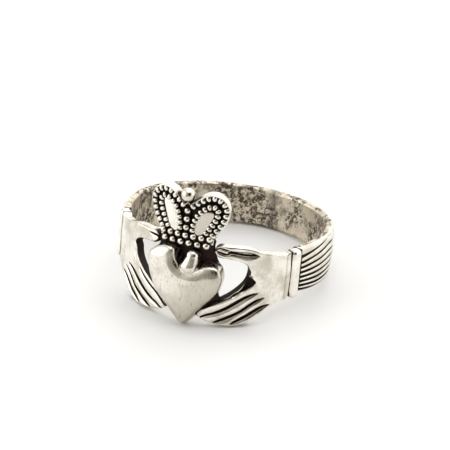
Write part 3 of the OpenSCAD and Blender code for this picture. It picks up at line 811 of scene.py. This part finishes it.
def engraved_folds_tree(material):
    """Cuts the sleeves' folds into the band: a groove at each whole fold_line from 1 to their number.

    Each groove gets narrower and shallower over its last degrees.
    """
    n = group("engraved_folds", [
        ("Folds", "NodeSocketInt", FOLDS), ("Groove width", "NodeSocketFloat", 0.3),
        ("Groove depth", "NodeSocketFloat", 0.24), ("Start angle", "NodeSocketFloat", 64.0),
        ("End angle", "NodeSocketFloat", 111.0), ("Taper", "NodeSocketFloat", 9.0)])
    source = n.node("NodeGroupInput").outputs

    def attribute(name):
        """A value stored on the band's points."""
        return n.node("GeometryNodeInputNamedAttribute", {"Name": name}, data_type="FLOAT").outputs[0]

    line, bend, pitch = attribute("fold_line"), attribute("bend"), attribute("fold_pitch")
    number = n.math("ROUND", line)
    real = n.math("MULTIPLY", n.math("GREATER_THAN", number, 0.5),
                  n.math("LESS_THAN", number, n.math("ADD", source["Folds"], 0.5)))
    off = n.math("MULTIPLY", n.math("ABSOLUTE", n.math("SUBTRACT", line, number)), pitch)
    from_middle = n.math("ABSOLUTE", n.math("SUBTRACT", number, FOLDS / 2))
    last = n.math("MULTIPLY_ADD", from_middle, -FOLD_SHORTER, source["End angle"])
    tail = n.ranged(bend, n.math("SUBTRACT", last, source["Taper"]), last, 1.0, 0.0)
    head = n.ranged(bend, source["Start angle"], n.math("ADD", source["Start angle"], 5.0), 1.35, 1.0)
    half = n.math("MULTIPLY", n.math("MULTIPLY", source["Groove width"], 0.5),
                  n.math("MULTIPLY", head, n.math("MULTIPLY_ADD", tail, 0.6, 0.4)))
    profile = n.ranged(off, n.math("MULTIPLY", half, 0.25), n.math("MULTIPLY", half, 1.15), 1.0, 0.0)
    cut = n.math("MULTIPLY", n.math("MULTIPLY", profile, real), tail)
    depth = n.math("MULTIPLY", n.math("MULTIPLY", cut, source["Groove depth"]), -MM)
    offset = n.node("ShaderNodeVectorMath", {0: outward_of(n), "Scale": depth}, operation="SCALE").outputs[0]
    moved = n.node("GeometryNodeSetPosition", {"Geometry": source["Geometry"], "Offset": offset}).outputs[0]
    stored = n.node("GeometryNodeStoreNamedAttribute", {"Geometry": moved, "Name": "cut", "Value": cut},
                    data_type="FLOAT", domain="POINT").outputs[0]
    real_mesh = n.node("GeometryNodeRealizeInstances", {"Geometry": stored}).outputs[0]
    painted = n.node("GeometryNodeSetMaterial", {"Geometry": real_mesh, "Material": material}).outputs[0]
    tarnished = n.node("GeometryNodeSetMaterial", {
        "Geometry": painted, "Selection": attribute("in_bore"), "Material": BORE_SILVER}).outputs[0]
    n.node("NodeGroupOutput", {"Geometry": tarnished})
    return n.tree


def bead_row_tree(material):
    """Sets beads along a row, pressed against the crown's front."""
    n = group("bead_row", [
        ("Beads", "NodeSocketInt", 14), ("Radius", "NodeSocketFloat", 0.26),
        ("Along", "NodeSocketFloat", 1.0), ("Across", "NodeSocketFloat", 1.0)])
    source = n.node("NodeGroupInput").outputs
    line = n.node("GeometryNodeMeshToCurve", {"Mesh": source["Geometry"]}).outputs[0]
    spaced = n.node("GeometryNodeResampleCurve", {"Curve": line, "Count": source["Beads"]}).outputs[0]
    radius = n.math("MULTIPLY", source["Radius"], MM)
    bead = n.node("GeometryNodeMeshUVSphere", {"Segments": 18, "Rings": 12, "Radius": radius}).outputs[0]
    tangent = n.node("GeometryNodeInputTangent").outputs[0]
    turned = n.node("FunctionNodeAlignRotationToVector", {"Vector": outward_of(n)}, axis="Z").outputs[0]
    turned = n.node("FunctionNodeAlignRotationToVector", {"Rotation": turned, "Vector": tangent},
                    axis="X", pivot_axis="Z").outputs[0]
    stretch = n.node("ShaderNodeCombineXYZ", {0: source["Along"], 1: source["Across"], 2: 1.0}).outputs[0]
    placed = n.node("GeometryNodeInstanceOnPoints", {
        "Points": spaced, "Instance": bead, "Rotation": turned, "Scale": stretch}).outputs[0]
    real = n.node("GeometryNodeRealizeInstances", {"Geometry": placed}).outputs[0]
    painted = n.node("GeometryNodeSetMaterial", {"Geometry": real, "Material": material}).outputs[0]
    n.node("NodeGroupOutput", {"Geometry": painted})
    return n.tree


def half_height(side, wrist, back):
    """How far the shank reaches up or down, from its wrist over its side to its back, where back is 1."""
    wrist_back = -math.cos(math.radians(SHANK_START))
    to_back = side + back * (BACK_HALF - side)
    to_wrist = side + back * (wrist - side) / wrist_back
    return float(smooth_min(to_back, to_wrist, SIDE_BLEND))


def corner(z, top, bottom, radius):
    """How far the rounded corners of the shank's section fall back at each height."""
    edge = np.clip(radius - np.minimum(top - z, z + bottom), 0, radius)
    return radius - np.sqrt(radius ** 2 - edge ** 2)


def shank():
    """The band from cuff to cuff round the back, closed in section, with its folds engraved."""
    # Columns of points, closer together over the first degrees behind each cuff
    end, fine, step = 360 - SHANK_START, 8, 0.4
    angles = np.concatenate([np.arange(SHANK_START, SHANK_START + fine, step),
                             np.linspace(SHANK_START + fine, end - fine, 190),
                             np.arange(end - fine + step, end + 0.01, step)])
    line = np.arange(0, (FOLDS + 1) * ROWS_PER_FOLD + 1) / ROWS_PER_FOLD
    down = np.clip((line - 1) / (FOLDS - 1), 0, 1)
    points, outward = [], []
    traits = {"fold_line": [], "bend": [], "fold_pitch": [], "in_bore": [], "seam": []}
    for angle in angles:
        turn = math.radians(angle)
        back = -math.cos(turn)
        away = min(angle, 360 - angle)
        lower = TUCK_LOW * float(ease(away, *TUCK_LOW_AT))
        thinner = TUCK_IN * float(ease(away, *TUCK_IN_AT))
        top = half_height(SIDE_TOP, WRIST_TOP, back) - lower
        bottom = half_height(SIDE_BOTTOM, WRIST_BOTTOM, back) - lower
        share = min(max((away - SLEEVE_START) / SLEEVE_LENGTH, 0), 1)
        middle = FOLD_MIDDLE[0] + FOLD_MIDDLE[1] * share
        spread = FOLD_SPREAD[0] + FOLD_SPREAD[1] * share - FOLD_SPREAD_SLOWING * share ** 2
        bias = FOLD_BIAS[0] + FOLD_BIAS[1] * share
        first = min(middle + spread / 2, top - TOP_MARGIN)
        last = max(middle - spread / 2, BOTTOM_MARGIN - bottom)
        z = first + (last - first) * down * (1 + bias - bias * down)
        z = np.where(line < 1, top + (first - top) * line, z)
        z = np.where(line > FOLDS, last - (bottom + last) * (line - FOLDS), z)
        dome = SHANK_DOME * (2 * z / (SIDE_TOP + SIDE_BOTTOM)) ** 2
        r = FACE_R - dome - corner(z, top, bottom, OUTER_ROUND) - thinner
        z_in = np.linspace(-bottom, top, INNER_ROWS)
        r_in = HOLE_R + corner(z_in, top, bottom, BORE_ROUND)
        zs, rs = np.concatenate([z, z_in]), np.concatenate([r, r_in])
        pitch = (first - last) / (FOLDS - 1) * (1 + bias - 2 * bias * down)
        points.append(np.stack([rs * math.sin(turn), -rs * math.cos(turn), zs], 1))
        outward.append(np.tile([math.sin(turn), -math.cos(turn), 0], (len(zs), 1)))
        traits["fold_line"].append(np.concatenate([line, np.full(INNER_ROWS, -5.0)]))
        traits["bend"].append(np.full(len(zs), away))
        traits["fold_pitch"].append(np.pad(pitch, (0, INNER_ROWS)))
        traits["in_bore"].append(np.concatenate([np.zeros(len(z)), np.ones(INNER_ROWS)]))
        traits["seam"].append(np.full(len(zs), math.exp(-((angle - SEAM_ANGLE) / SEAM_HALF) ** 2)))
    section, columns = len(points[0]), len(points)
    column, row = np.arange(columns - 1)[:, None] * section, np.arange(section)[None, :]
    a, b = (column + row).ravel(), (column + (row + 1) % section).ravel()
    faces = np.stack([a, b, b + section, a + section], 1).tolist()
    faces.append(list(range(section))[::-1])
    faces.append([(columns - 1) * section + i for i in range(section)])
    obj = piece("shank", np.concatenate(points), faces)
    for label, values in traits.items():
        store(obj, label, np.concatenate(values))
    store_outward(obj.data, np.concatenate(outward))
    return finished(obj, engraved_folds_tree(SLEEVE_SILVER), Folds=FOLDS)


def store_outward(mesh, ways):
    """Stores the direction away from the finger hole, given in the ring's own frame."""
    turned = np.asarray(ways) @ np.array(LIE_DOWN.to_3x3()).T
    mesh.attributes.new("outward", "FLOAT_VECTOR", "POINT").data.foreach_set("vector", turned.ravel())


def crown_beads():
    """The crown's beads: two rows on the foot, the rows round each arch, and the middle column."""
    rows = []
    for count, share, radius, spacing in FOOT_ROWS:
        ends = spacing * (count - 1) / 2
        line = [(u, CROWN_FOOT + share * CROWN_H) for u in np.linspace(-ends, ends, 25)]
        rows.append((line, count, radius, (1.0, 1.0)))
    line = [(0, CROWN_FOOT + CROWN_H * share) for share in (COLUMN_LOW, COLUMN_HIGH)]
    rows.append((line, COLUMN_BEADS, COLUMN_BEAD_R, (1.0, 1.0)))
    for side in (1, -1):
        rows.append((OUTER_LINE * (side, 1), OUTER_BEADS, OUTER_BEAD_R, OUTER_STRETCH))
        inner = INNER_LINE * (side, 1)
        if side < 0:
            inner[:, 1] += LEFT_ARCH_RISE / 3 * ease(inner[:, 1], LEAF_FOOT, INNER_LINE[:, 1].max())
        rows.append((inner, INNER_BEADS, INNER_BEAD_R, INNER_STRETCH))
    tree = bead_row_tree(BEAD_SILVER)
    made = []
    for i, (line, count, radius, (lengthwise, across)) in enumerate(rows):
        line = np.asarray(line, float)
        height = np.full(len(line), CROWN_T + BEAD_RISE)
        mesh = bpy.data.meshes.new(f"bead_row_{i}")
        mesh.from_pydata(ring_to_row(on_ring(np.stack([*line.T, height], 1))).tolist(),
                         [(k, k + 1) for k in range(len(line) - 1)], [])
        angle = line[:, 0] / FACE_R
        store_outward(mesh, np.stack([np.sin(angle), -np.cos(angle), 0 * angle], 1))
        row = added(f"bead_row_{i}", mesh)
        made.append(finished(row, tree, Beads=count, Radius=radius, Along=lengthwise, Across=across))
    with bpy.context.temp_override(active_object=made[0], selected_editable_objects=made):
        bpy.ops.object.join()
    made[0].name = "crown_beads"
    return made[0]


def head():
    """The pieces of the head, each sculpted from its field in a box, with the step of its grid in mm."""
    hand_box, hand_step = ((1.2, -5.8, -0.2), (11.4, 3.0, 1.3)), 0.055
    cuff_box, cuff_step = ((10.6, -3.2, -0.2), (12.5, 2.5, 1.4)), 0.06
    return [
        sculpt("right_hand", hand_field, *hand_box, hand_step, on_ring, HAND_SILVER, hand_stain, palm_painted_shade),
        turned_out(sculpt("left_hand", left_hand_field, *hand_box, hand_step, on_left, HAND_SILVER,
                          left_hand_stain, palm_painted_shade)),
        sculpt("right_cuff", cuff_field, *cuff_box, cuff_step, on_ring, CUFF_SILVER_PAINTED_BRIGHT),
        turned_out(sculpt("left_cuff", cuff_field, *cuff_box, cuff_step, on_left, CUFF_SILVER_PAINTED_BRIGHT)),
        sculpt("ground", ground_field, (-4.5, -5.6, -0.2), (4.5, 3.4, 0.7), 0.07, on_ring, GROUND_OXIDE,
               ground_stain),
        sculpt("heart", heart_field, (-4.3, -5.8, 0.1), (4.3, 3.0, 2.4), 0.055, on_ring, HEART_SILVER,
               dull=heart_painted_shade),
        sculpt("crown_plate", crown_field, (-4.4, 1.7, -0.2), (4.4, 7.9, 1.3), 0.05, on_ring, CROWN_SILVER,
               crown_stain),
        sculpt("crown_leaves", leaf_field, (-3.2, 3.2, 0.2), (3.2, 6.7, 1.1), 0.05, on_ring, LEAF_SILVER_PAINTED_BRIGHT,
               dull=leaf_painted_shade),
        sculpt("crown_ball", ball_field, (-0.9, 6.4, 9.7), (0.9, 8.1, 11.5), 0.05, on_front, BEAD_SILVER),
    ]


# How sharply a polishing cloth bends into a recess, as radii in mm, and how much each counts
CLOTH_BENDS = [(0.35, 1.0), (0.9, 0.8)]


def wear(pieces):
    """Stores on each piece how far out of a polishing cloth's reach each point is, from 0 to 1."""
    clouds = []
    for obj in pieces:
        mesh = obj.data
        points = np.zeros(len(mesh.vertices) * 3)
        normals = np.zeros(len(mesh.vertices) * 3)
        mesh.vertices.foreach_get("co", points)
        mesh.vertex_normals.foreach_get("vector", normals)
        clouds.append((points.reshape(-1, 3), normals.reshape(-1, 3)))
    all_points = np.concatenate([points for points, _ in clouds])
    tree = kdtree.KDTree(len(all_points))
    for i, point in enumerate(all_points):
        tree.insert(point, i)
    tree.balance()
    for obj, (points, normals) in zip(pieces, clouds):
        recess = np.zeros(len(points))
        for radius, weight in CLOTH_BENDS:
            centres = points + normals * radius * MM
            reach = np.array([tree.find(centre)[2] for centre in centres]) / (radius * MM)
            recess = np.maximum(recess, weight * (1 - np.clip(reach, 0, 1)))
        store(obj, "recess", recess)


def floor():
    """A wide pale floor under the ring."""
    material = bpy.data.materials.new("pale_floor")
    material.use_nodes = True
    shader = material.node_tree.nodes["Principled BSDF"]
    shader.inputs["Base Color"].default_value = (0.9, 0.9, 0.9, 1)
    shader.inputs["Roughness"].default_value = 0.6
    wide, low = 2.0, cad_low.z
    corners = [(-wide, -wide, low), (wide, -wide, low), (wide, wide, low), (-wide, wide, low)]
    mesh = bpy.data.meshes.new("floor")
    mesh.from_pydata(corners, [], [(0, 1, 2, 3)])
    mesh.materials.append(material)
    added("floor", mesh)


# Bright patches of the tent's light: the way to each, its inner and outer radius in degrees, and
# its strength. They come on top of the plain sky, which is dimmer in front, where the room is.
BRIGHT_PATCHES = [
    ((-0.85, -0.45, 0.15), 15, 50, 1.25), ((0.95, 0.25, 0.1), 15, 45, 0.7),
    ((0.0, 1.0, 0.15), 20, 60, 0.6), ((0.1, 0.25, 1.0), 10, 45, 1.25),
]
SKY, ROOM_DIM, SPOT_DIM = 0.85, 0.48, 0.92


def studio_light():
    """Soft light in a white tent: bright at the sides, behind and above, warmer and dimmer in front."""
    world = bpy.data.worlds.new("studio")
    bpy.context.scene.world = world
    world.use_nodes = True
    n = Nodes(world.node_tree)
    n.tree.nodes.clear()
    way = n.node("ShaderNodeTexCoord").outputs["Generated"]

    def patch(direction, inner, outer):
        """1 inside a round patch of the sky, in degrees from its middle, and 0 outside it."""
        d = Vector(direction).normalized()
        dot = n.node("ShaderNodeVectorMath", {0: way, 1: tuple(d)}, operation="DOT_PRODUCT").outputs["Value"]
        return n.ranged(dot, math.cos(math.radians(outer)), math.cos(math.radians(inner)))

    room = patch((0.5, -0.85, 0.1), 20, 80)
    light = n.math("MULTIPLY_ADD", room, -ROOM_DIM, SKY)
    for direction, inner, outer, strength in BRIGHT_PATCHES:
        light = n.math("MULTIPLY_ADD", patch(direction, inner, outer), strength, light)
    dark_spot = patch((0.62, -0.485, 0.616), 14, 34)
    light = n.math("MULTIPLY", light, n.math("MULTIPLY_ADD", dark_spot, -SPOT_DIM, 1.0))
    tint = n.node("ShaderNodeMix", {"Factor": room, "A": (1.0, 0.995, 0.985, 1), "B": (1.0, 0.95, 0.86, 1)},
                  data_type="RGBA").outputs["Result"]
    back = n.node("ShaderNodeBackground", {"Color": tint, "Strength": light})
    n.node("ShaderNodeOutputWorld", {"Surface": back.outputs[0]})


bpy.context.scene.view_settings.view_transform = "Standard"
floor()
studio_light()
ring_pieces = [*head(), shank(), crown_beads()]
wear(ring_pieces)
for obj in ring_pieces:
    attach(obj, "root")
    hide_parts("ring")
